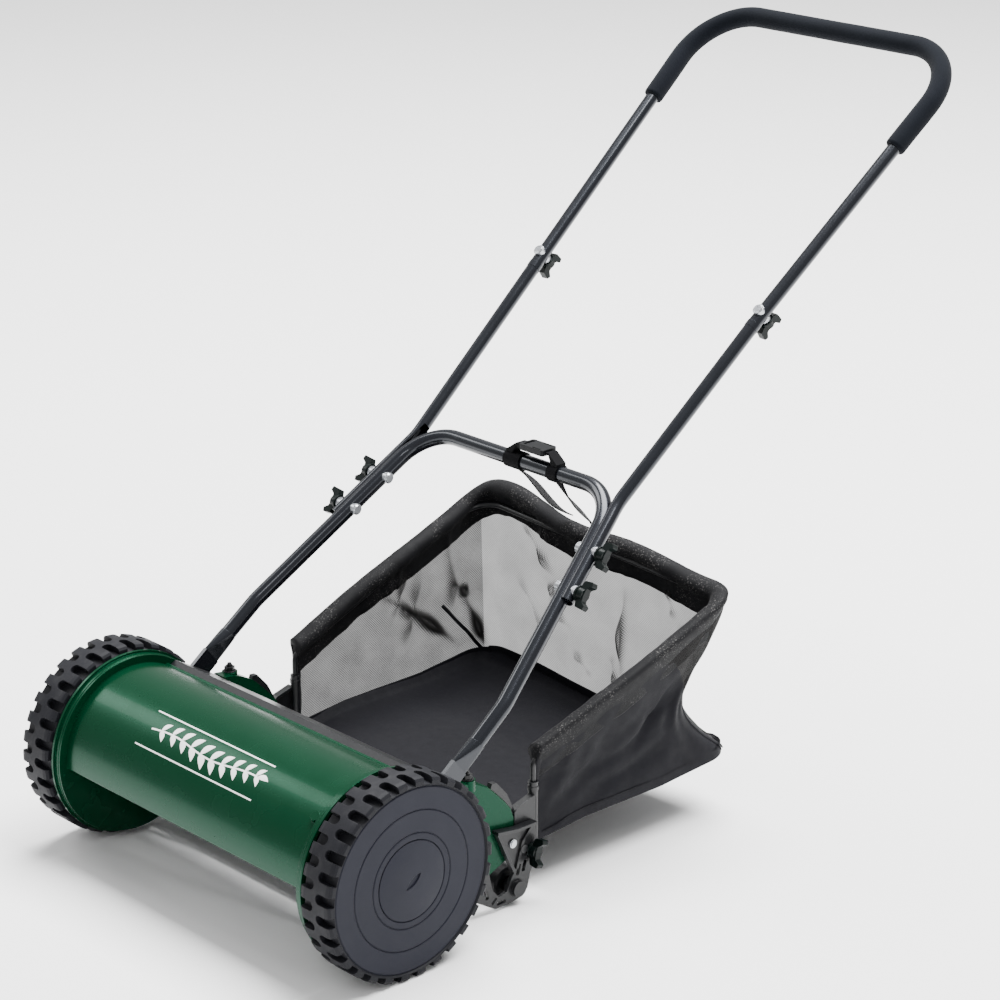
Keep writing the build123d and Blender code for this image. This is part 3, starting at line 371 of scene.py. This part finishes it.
# ------------------------------------------------------------------ mesh helpers
def add_object(name, verts, faces, material, uvs=None):
    data = bpy.data.meshes.new(name)
    data.from_pydata([tuple(v) for v in verts], [], faces)
    if uvs is not None:
        layer = data.uv_layers.new(name="cloth")
        for loop in data.loops:
            layer.data[loop.index].uv = uvs[loop.vertex_index]
    data.materials.append(material)
    data.shade_smooth()
    obj = bpy.data.objects.new(name, data)
    bpy.context.scene.collection.objects.link(obj)
    return obj


def grid_faces(rows, cols, close_cols=False):
    faces = []
    for i in range(rows - 1):
        for j in range(cols if close_cols else cols - 1):
            k = (j + 1) % cols
            faces.append((i * cols + j, i * cols + k, (i + 1) * cols + k, (i + 1) * cols + j))
    return faces


def bent_line(points, radii, step):
    """Points along straight runs joined by tangent arcs."""
    pts = [Vector(p) for p in points]
    line = [pts[0]]

    def run_to(goal):
        start = line[-1].copy()
        count = max(1, int((goal - start).length / step))
        line.extend(start.lerp(goal, k / count) for k in range(1, count + 1))

    for i, radius in enumerate(radii, start=1):
        back = (pts[i - 1] - pts[i]).normalized()
        ahead = (pts[i + 1] - pts[i]).normalized()
        half = back.angle(ahead) / 2
        centre = pts[i] + (back + ahead).normalized() * (radius / math.sin(half))
        first = pts[i] + back * (radius / math.tan(half))
        last = pts[i] + ahead * (radius / math.tan(half))
        run_to(first)
        a, b = first - centre, last - centre
        count = max(4, int(radius * a.angle(b) / step))
        turn = a.cross(b).normalized()
        for k in range(1, count + 1):
            line.append(centre + Matrix.Rotation(a.angle(b) * k / count, 3, turn) @ a)
    run_to(pts[-1])
    return line


def sweep_frames(line):
    """Direction, side and up at each point of a line, without twist."""
    frames = []
    up = Vector((0, 0, 1))
    for i, p in enumerate(line):
        d = (line[min(i + 1, len(line) - 1)] - line[max(i - 1, 0)]).normalized()
        side = d.cross(up).normalized()
        up = side.cross(d).normalized()
        frames.append((p, d, side, up))
    return frames


# ------------------------------------------------------------------ foam grip
def foam_grip():
    mm = 0.001
    top_r = Vector((188.3, 858.5, 777.6)) * mm
    mid_r = Vector((152.0, 375.0, 387.0)) * mm
    end_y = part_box("foam_grip")[0].y + 0.0068
    t = (end_y - mid_r.y) / (top_r.y - mid_r.y)
    end_r = mid_r.lerp(top_r, t)

    def flip(v):
        return Vector((-v.x, v.y, v.z))

    line = bent_line([flip(end_r), flip(top_r), top_r, end_r], [0.070, 0.070], 0.004)
    frames = sweep_frames(line)
    outer, inner, ring = 0.0113, 0.00765, 56
    profile = [(0.0, inner), (0.0, inner + 0.0009), (0.0004, outer - 0.0016), (0.0014, outer - 0.0005),
               (0.0030, outer)]
    stations = []
    for i, (p, d, side, up) in enumerate(frames):
        if i == 0:
            stations += [(p + d * a, side, up, r) for a, r in profile]
        elif i == len(frames) - 1:
            stations += [(p - d * a, side, up, r) for a, r in reversed(profile)]
        else:
            stations.append((p, side, up, outer))
    verts, uvs = [], []
    travelled = 0.0
    for i, (p, side, up, r) in enumerate(stations):
        if i:
            travelled += (p - stations[i - 1][0]).length
        for j in range(ring):
            a = 2 * math.pi * j / ring
            out = side * math.cos(a) + up * math.sin(a)
            lump = noise.noise((p + out * 0.02) * 26.0) * 0.00022 if r > 0.0105 else 0.0
            verts.append(p + out * (r + lump))
            uvs.append((travelled, r * a))
    faces = grid_faces(len(stations), ring, True)
    grip = add_object("grip_sleeve", verts, faces, foam, uvs=uvs)
    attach(grip, "chassis")
    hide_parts("foam_grip")


foam_grip()


# ------------------------------------------------------------------ cover ornament
def cover_ornament():
    """Plain leaf sprig between two thin lines, a coat of paint thick, following the cover."""
    white = paint("white_ink", (0.72, 0.73, 0.71), (0.78, 0.78, 0.76), 0.4, 0.3, peel=0.00003, edge=0.0001)
    radius = 0.08915
    verts, faces = [], []

    def at(x, v, lift=0.0):
        """x along the cover and v up round it, both in metres from the ornament's middle."""
        a = math.radians(50.5) + v / radius
        return Vector((x, -math.cos(a) * (radius + lift), 0.105 + math.sin(a) * (radius + lift)))

    def blob(outline_a, outline_b, across=4):
        """Surface between two point rows of equal length."""
        first = len(verts)
        n = len(outline_a)
        for k in range(across + 1):
            for (xa, va), (xb, vb) in zip(outline_a, outline_b):
                t = k / across
                lift = 0.00012 if 0 < k < across else 0.0
                verts.append(at(xa + (xb - xa) * t, va + (vb - va) * t, lift))
        for k in range(across):
            for i in range(n - 1):
                a = first + k * n + i
                faces.append((a, a + n, a + n + 1, a + 1))

    def leaf(x, v, length, width, angle):
        upper, lower = [], []
        for i in range(15):
            t = i / 14
            half = width / 2 * math.sin(math.pi * t ** 0.8) ** 0.9
            curve = 0.12 * length * math.sin(math.pi * t)
            for row, s in ((upper, 1), (lower, -1)):
                lx, lv = length * t, curve + s * half
                row.append((x + lx * math.cos(angle) - lv * math.sin(angle),
                            v + lx * math.sin(angle) + lv * math.cos(angle)))
        blob(upper, lower)

    def stem(points, width):
        upper = [(x, v + width / 2) for x, v in points]
        lower = [(x, v - width / 2) for x, v in points]
        blob(upper, lower, 2)

    path = [(-0.084 + 0.168 * i / 60, 0.0030 * math.sin(i / 60 * 2.6 * math.pi)) for i in range(61)]
    stem(path, 0.0018)
    for i in range(5, 60, 6):
        x, v = path[i]
        size = 0.0185 - 0.006 * abs(i - 30) / 30
        leaf(x, v + 0.0006, size, size * 0.44, math.radians(48))
        leaf(x, v - 0.0006, size, size * 0.44, math.radians(-48))
    leaf(path[-1][0], path[-1][1], 0.0165, 0.0062, 0.0)
    for v in (-0.0205, 0.0205):
        stem([(-0.094 + 0.188 * i / 20, v) for i in range(21)], 0.0016)
    motif = add_object("cover_ornament", verts, faces, white)
    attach(motif, "chassis")


cover_ornament()


# ------------------------------------------------------------------ collecting bag
LEFT_RIM = [(0.213, 0.155), (0.248, 0.169), (0.306, 0.1935), (0.457, 0.254), (0.512, 0.276)]
RIGHT_RIM = [(0.213, 0.154), (0.248, 0.165), (0.306, 0.186), (0.457, 0.238), (0.512, 0.257)]
FLOOR = [(0.213, 0.0555), (0.229, 0.0560), (0.287, 0.0608), (0.400, 0.0598), (0.503, 0.0685)]
FRONT_Y, CORNER = 0.2165, 0.034


def between(line, y):
    for (y0, z0), (y1, z1) in zip(line, line[1:]):
        if y <= y1:
            return z0 + (z1 - z0) * max(0.0, (y - y0) / (y1 - y0))
    return line[-1][1]


def ease(a, b, x):
    t = min(1.0, max(0.0, (x - a) / (b - a)))
    return t * t * (3 - 2 * t)


def plan(z):
    """Half width and rear place of the bag at height z."""
    t = (z - 0.040) / 0.260
    return 0.1912 + 0.0115 * t, 0.5007 + 0.0025 * t


WALL = 0.250              # side wall length before the corner
ARC = CORNER * math.pi / 2
BACK = 0.318
CORNER_FLARE = 0.011      # how far the rear right-hand foot stands out
TOTAL = 2 * WALL + 2 * ARC + BACK


def around(s, z):
    """Point on the bag's plan outline at arc length s, and the inward direction."""
    half, rear = plan(z)
    side_run = rear - CORNER - FRONT_Y
    if s <= WALL:
        return Vector((-half, FRONT_Y + side_run * s / WALL, z)), Vector((1, 0, 0))
    if s <= WALL + ARC:
        a = (s - WALL) / ARC * math.pi / 2
        d = Vector((-math.cos(a), math.sin(a), 0))
        return Vector((-half + CORNER, rear - CORNER, z)) + d * CORNER, -d
    if s <= WALL + ARC + BACK:
        t = (s - WALL - ARC) / BACK
        return Vector((-half + CORNER + (2 * half - 2 * CORNER) * t, rear, z)), Vector((0, -1, 0))
    if s <= WALL + 2 * ARC + BACK:
        a = (s - WALL - ARC - BACK) / ARC * math.pi / 2
        d = Vector((math.sin(a), math.cos(a), 0))
        return Vector((half - CORNER, rear - CORNER, z)) + d * CORNER, -d
    t = (s - WALL - 2 * ARC - BACK) / WALL
    return Vector((half, rear - CORNER - side_run * t, z)), Vector((-1, 0, 0))


def rim_height(s):
    p, _ = around(s, 0.2)
    t = ease(-0.20, 0.20, p.x)
    left, right = between(LEFT_RIM, p.y), between(RIGHT_RIM, p.y)
    z = left + (right - left) * (p.x + 0.2) / 0.4
    pulled = 0.011 * math.exp(-((p.x + 0.135) / 0.055) ** 2) * ease(0.47, 0.50, p.y)
    dip = 0.003 * math.sin((p.x + 0.2) * 31) * ease(0.46, 0.50, p.y)
    sag = 0.0035 * math.sin(s * 21 + t) * (1 - ease(0.46, 0.50, p.y))
    return z + pulled + dip + sag * 0.6


def foot_height(s):
    p, _ = around(s, 0.07)
    z = between(FLOOR, p.y)
    return z - 0.010 * math.exp(-((p.x - 0.02) / 0.09) ** 2) * ease(0.48, 0.50, p.y)


# creases as (s, v) from and to, inward depth, half width in metres, and how tightly the net bunches there,
# which also sets the crease shade painted in as extra net opacity
CREASES = [
    (0.115, 0.86, 0.247, 0.10, 0.011, 0.0050, 0.42),
    (0.150, 0.74, 0.170, 0.38, 0.006, 0.0045, 0.22),
    (0.165, 0.92, 0.140, 0.55, 0.007, 0.0050, 0.26),
    (0.185, 0.82, 0.155, 0.30, 0.005, 0.0060, 0.16),
    (0.225, 0.90, 0.232, 0.35, 0.008, 0.0070, 0.18),
    (0.245, 0.48, 0.285, 0.02, 0.012, 0.0055, 0.45),
    (0.222, 0.62, 0.262, 0.40, 0.008, 0.0040, 0.40),
    (0.335, 0.86, 0.395, 0.66, 0.010, 0.0042, 0.42),
    (0.395, 0.66, 0.385, 0.48, 0.008, 0.0045, 0.36),
    (0.385, 0.50, 0.420, 0.40, 0.006, 0.0042, 0.30),
    (0.330, 0.58, 0.385, 0.24, 0.006, 0.0048, 0.20),
    (0.420, 0.30, 0.450, 0.16, 0.005, 0.0040, 0.26),
    (0.500, 0.80, 0.498, 0.20, 0.010, 0.0046, 0.44),
    (0.480, 0.36, 0.494, 0.12, 0.008, 0.0040, 0.40),
    (0.500, 0.26, 0.600, 0.30, 0.006, 0.0055, 0.20),
    (0.556, 0.90, 0.575, 0.70, 0.007, 0.0040, 0.36),
    (0.575, 0.70, 0.640, 0.60, 0.005, 0.0050, 0.22),
    (0.700, 0.72, 0.800, 0.30, 0.007, 0.0090, 0.18),
    (0.690, 0.30, 0.880, 0.16, 0.006, 0.0100, 0.12),
    (0.690, 0.46, 0.900, 0.34, 0.005, 0.0110, 0.12),
    (0.690, 0.56, 0.780, 0.50, 0.005, 0.0080, 0.18)]


def crease_at(s, v, height):
    depth, gather_and_shade = 0.0, 0.0
    for s0, v0, s1, v1, deep, half, gather_and_shade_strength in CREASES:
        a = Vector((s0, v0 * height))
        b = Vector((s1, v1 * height))
        p = Vector((s, v * height))
        t = (p - a).dot(b - a) / (b - a).length_squared
        wander = 0.0035 * math.sin(9.0 * t + s0 * 50) * ease(0, 0.3, t) * ease(1.0, 0.7, t)
        t = min(1.0, max(0.0, t))
        off = p - a.lerp(b, t)
        away = (off.length + wander if off.length else 0.0) / half
        fade = min(ease(0.0, 0.35, t), 1 - ease(0.65, 1.0, t))
        if away < 4 and 0 < t < 1:
            depth += 0.7 * deep * fade * math.exp(-away * away)
            # net bunching along the crease, which also serves as painted crease shade
            gather_and_shade += gather_and_shade_strength * fade * math.exp(-(away * 1.15) ** 2)
    return depth, min(gather_and_shade, 0.6)


def right_kink(s, v):
    """Forward sag of the rear right-hand corner between the frame wire and the floor."""
    corner = WALL + ARC * 1.5 + BACK
    near = math.exp(-((s - corner) / 0.062) ** 2)
    if v < 0.38:
        shape = ease(0.0, 0.38, v)
    else:
        shape = 1 - ease(0.38, 0.96, v)
    return near * (0.043 * shape - CORNER_FLARE * (1 - ease(0.0, 0.16, v)))


def wall_point(s, v):
    """Point of the bag wall: s round the plan, v from the floor seam (0) to the rim (1)."""
    low, high = foot_height(s), rim_height(s)
    z = low + (high - low) * v
    p, inward = around(s, z)
    depth, gather_and_shade = crease_at(s, v, high - low)
    belly = math.sin(math.pi * min(1.0, max(0.0, v)))
    side = 0.0035 if s < WALL else 0.0075
    depth += belly * side * (0.7 + 0.6 * noise.noise(Vector((s * 14, v * 2.2, 3.1))))
    depth += belly * 0.0042 * noise.noise(Vector((s * 34, v * 5.0, 9.7)))
    p = p + inward * (depth * belly ** 0.35 + 0.0006)
    kink = right_kink(s, v)
    p.y -= kink
    p.x -= kink * 0.10 * ease(WALL + ARC, WALL + ARC + BACK, s)
    return p, gather_and_shade


def wall_panel(name, s0, s1, v0, v1, material, cols, rows):
    verts, uvs, gather_and_shade_values = [], [], []
    for j in range(rows + 1):
        for i in range(cols + 1):
            t = i / cols
            s = s0 + (s1 - s0) * t
            a = v0(s) if callable(v0) else v0
            b = v1(s) if callable(v1) else v1
            v = a + (b - a) * j / rows
            p, gather_and_shade = wall_point(s, v)
            verts.append(p)
            uvs.append((s, v * (rim_height(s) - foot_height(s))))
            gather_and_shade_values.append(gather_and_shade)
    obj = add_object(name, verts, grid_faces(rows + 1, cols + 1), material, uvs=uvs)
    # per-point net bunching and painted crease shade for the net material
    attribute = obj.data.attributes.new("gather_and_shade", "FLOAT", "POINT")
    attribute.data.foreach_set("value", gather_and_shade_values)
    return obj


def strip_along(name, line, width, thick, material):
    """Flat sewn band with rounded edges along [(point, outward, along-width direction)]."""
    section = [(-0.5, 0.0), (-0.5, 0.6), (-0.42, 1.0), (0.42, 1.0), (0.5, 0.6), (0.5, 0.0), (0.42, -0.4),
               (-0.42, -0.4)]
    verts, uvs = [], []
    travelled = 0.0
    for i, (p, out, over) in enumerate(line):
        if i:
            travelled += (p - line[i - 1][0]).length
        for a, b in section:
            verts.append(p + over * (a * width) + out * (b * thick))
            uvs.append((travelled, a * width))
    faces = grid_faces(len(line), len(section), True)
    faces.append(tuple(range(len(section)))[::-1])
    last = (len(line) - 1) * len(section)
    faces.append(tuple(last + k for k in range(len(section))))
    return add_object(name, verts, faces, material, uvs=uvs)


def build_bag():
    rear_1 = WALL + ARC + BACK
    right_0 = WALL + ARC * 2 + BACK
    pieces = []
    left = wall_panel("bag_net_left", 0.0, WALL + ARC * 0.5, 0.0, 0.97, net_left, 150, 80)
    rear = wall_panel("bag_net_back", WALL + ARC * 0.5, rear_1 + ARC * 0.5, 0.0, 0.97, net_rear, 190, 90)

    # right wall: solid cloth below a sloping seam, net above it towards the rear corner
    def seam(s):
        t = (s - (right_0 - ARC * 0.5)) / (TOTAL - right_0 + ARC * 0.5)
        return 0.44 + 0.50 * ease(0.0, 0.42, t)

    cloth_right = wall_panel("bag_cloth_right", rear_1 + ARC * 0.5, TOTAL, 0.0, seam, bag_cloth, 130, 60)
    net_right = wall_panel("bag_net_right", rear_1 + ARC * 0.5, right_0 + WALL * 0.42, seam, 0.975,
                           net_left, 70, 40)

    # floor: one cloth panel with its edges turned up into the wall seams
    verts, uvs = [], []
    cols, rows = 96, 84
    for j in range(rows + 1):
        y = 0.2275 + (0.5005 - 0.2275) * j / rows
        for i in range(cols + 1):
            u = -1 + 2 * i / cols
            half, rear_y = plan(0.06)
            corner = max(0.0, y - (rear_y - CORNER))
            limit = half - CORNER + math.sqrt(max(0.0, CORNER ** 2 - min(corner, CORNER) ** 2))
            x = u * (limit - 0.0004)
            z = between(FLOOR, y)
            edge = min(1.0, (1 - abs(u)) * half / 0.03, (rear_y - y) / 0.03)
            z -= 0.010 * math.exp(-((x - 0.02) / 0.09) ** 2) * ease(0.44, 0.50, y)
            z += 0.0022 * noise.noise(Vector((x * 9, y * 9, 1.3))) * edge
            z += 0.0016 * math.sin(x * 44 + y * 30) * noise.noise(Vector((x * 5, y * 7, 6.0))) * edge
            z += 0.0032 * ease(0.85, 1.0, abs(u)) * ease(0.24, 0.27, y)
            flare = CORNER_FLARE * math.exp(-((x - 0.180) ** 2 + (y - 0.492) ** 2) / 0.052 ** 2)
            turn_up = 0.0075 * max(ease(0.955, 1.0, abs(u)), ease(rear_y - 0.012, rear_y, y))
            verts.append(Vector((x, y + flare, z + turn_up)))
            uvs.append((x, y))
    base = add_object("bag_floor", verts, grid_faces(rows + 1, cols + 1), bag_cloth, uvs=uvs)

    # hem: folded sleeve over the frame wire with a puckered lower edge
    verts, uvs = [], []
    section = [(0.020, 0.0002), (0.010, -0.0018), (0.0, -0.0036), (-0.0050, -0.0030), (-0.0074, 0.0010),
               (-0.0068, 0.0070), (-0.0036, 0.0122), (0.0020, 0.0142), (0.0070, 0.0122), (0.0120, 0.0076),
               (0.0190, 0.0038), (0.0270, 0.0018), (0.0345, 0.0009), (0.0350, 0.0), (0.0330, -0.0004)]
    steps = 420
    travelled = 0.0
    rim_line = []
    for i in range(steps + 1):
        s = TOTAL * i / steps
        top, _ = wall_point(s, 1.0)
        lower, _ = wall_point(s, 0.72)
        ahead, _ = around(min(s + 0.002, TOTAL), top.z)
        behind, _ = around(max(s - 0.002, 0.0), top.z)
        run = (ahead - behind).normalized()
        down = (lower - top).normalized()
        inward = around(s, top.z)[1]
        rim_line.append((top, down, inward))
        if i:
            travelled += (top - rim_line[-2][0]).length
        pucker = noise.noise(Vector((s * 60, 0.3, 4.0)))
        ripple = noise.noise(Vector((s * 130, 2.3, 1.0)))
        for k, (a, b) in enumerate(section):
            wave = 1 + 0.035 * pucker + 0.012 * ripple
            drop = a * wave if a > 0 else a * (1 + 0.05 * pucker)
            puff = b * (1 + 0.12 * noise.noise(Vector((s * 46, k * 0.35, 7.0))))
            verts.append(top + down * drop + inward * puff)
            uvs.append((travelled, k * 0.004))
    faces = grid_faces(steps + 1, len(section), True)
    faces.append(tuple(range(len(section)))[::-1])
    faces.append(tuple(steps * len(section) + k for k in range(len(section))))
    hem = add_object("bag_hem", verts, faces, hem_cloth, uvs=uvs)

    # bindings: floor seams, rear corners and the front edges
    def run(s_from, s_to, v_from, v_to, count):
        line = []
        for k in range(count + 1):
            t = k / count
            s, v = s_from + (s_to - s_from) * t, v_from + (v_to - v_from) * t
            p, _ = wall_point(s, v)
            q, _ = wall_point(min(TOTAL, s + 0.002), v)
            r, _ = wall_point(s, min(1.0, v + 0.02))
            across, up = (q - p).normalized(), (r - p).normalized()
            out = across.cross(up).normalized() * -1.0
            d = Vector((s_to - s_from, (v_to - v_from) * 0.2))
            along = (across * d.x + up * d.y).normalized()
            line.append((p, out, along.cross(out).normalized()))
        return line

    corner_left, corner_right = WALL + ARC * 0.5, rear_1 + ARC * 0.5
    bands = []
    for name, path, width, thick in (
            ("bag_seam_left", (0.004, WALL + ARC, 0.030, 0.045, 70), 0.0130, 0.0009),
            ("bag_seam_back", (WALL + ARC * 0.6, rear_1 + ARC * 0.4, 0.045, 0.040, 90), 0.0150, 0.0011),
            ("bag_seam_corner_left", (corner_left, WALL - 0.034, 0.04, 0.46, 50), 0.0042, 0.0007),
            ("bag_seam_corner_right", (corner_right, corner_right, 0.02, 0.97, 60), 0.0070, 0.0009),
            ("bag_edge_left", (0.003, 0.003, 0.10, 0.985, 40), 0.0075, 0.0010),
            ("bag_edge_right", (TOTAL - 0.003, TOTAL - 0.003, 0.10, 0.985, 40), 0.0075, 0.0010)):
        bands.append(strip_along(name, run(*path), width, thick, bag_cloth))
    pieces += [left, rear, cloth_right, net_right, base, hem] + bands
    for piece in pieces:
        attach(piece, "bag")
    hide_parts("bag_fabric")


build_bag()


# ------------------------------------------------------------------ strap tails
def strap_tail(name, top, foot, width, bow, wave):
    line = []
    top, foot = Vector(top), Vector(foot)
    count = 70
    for k in range(count + 1):
        t = k / count
        p = top.lerp(foot, t)
        p.z -= bow * math.sin(math.pi * t)
        p.y += wave * math.sin(2 * math.pi * t) * 0.6
        line.append(p)
    verts, uvs = [], []
    section = [(-0.5, -0.5), (-0.25, -0.56), (0.0, -0.58), (0.25, -0.56), (0.5, -0.5), (0.54, 0.0),
               (0.5, 0.5), (0.25, 0.56), (0.0, 0.58), (-0.25, 0.56), (-0.5, 0.5), (-0.54, 0.0)]
    for k, p in enumerate(line):
        t = k / count
        d = (line[min(k + 1, count)] - line[max(k - 1, 0)]).normalized()
        side = Vector((1, 0, 0))
        side = (side - d * side.dot(d)).normalized()
        turn = math.radians(62) * math.sin(math.pi * t) * (1 if wave > 0 else 0.6)
        side = Matrix.Rotation(turn, 3, d) @ side
        up = side.cross(d)
        for a, b in section:
            verts.append(p + side * (a * width) + up * (b * 0.0014))
            uvs.append((a * width, t * (top - foot).length))
    faces = grid_faces(count + 1, len(section), True)
    faces.append(tuple(range(len(section)))[::-1])
    faces.append(tuple(count * len(section) + k for k in range(len(section))))
    tail = add_object(name, verts, faces, webbing, uvs=uvs)
    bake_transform(tail)
    return tail


tail_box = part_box("strap_tails")
tail_top = tail_box[1].z - 0.0006
TAIL_WIDTH = 0.0105
first_tail = strap_tail("strap_tail_near", (-0.009, 0.378, tail_top), (-0.050, 0.4965, 0.279),
                        TAIL_WIDTH, 0.002, 0.004)
strap_tail("strap_tail_far", (0.056, 0.378, tail_top), (-0.006, 0.4965, 0.272), TAIL_WIDTH, 0.003, -0.003)
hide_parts("strap_tails")


# ------------------------------------------------------------------ floor
floor_mesh = bpy.data.meshes.new("studio_floor")
FLOOR_HALF = 20
floor_corners = [(x * FLOOR_HALF, y * FLOOR_HALF, 0) for x, y in ((-1, -1), (1, -1), (1, 1), (-1, 1))]
floor_mesh.from_pydata(floor_corners, [], [(0, 1, 2, 3)])
floor_mesh.materials.append(floor_graph.material)
floor_object = bpy.data.objects.new("studio_floor", floor_mesh)
bpy.context.scene.collection.objects.link(floor_object)
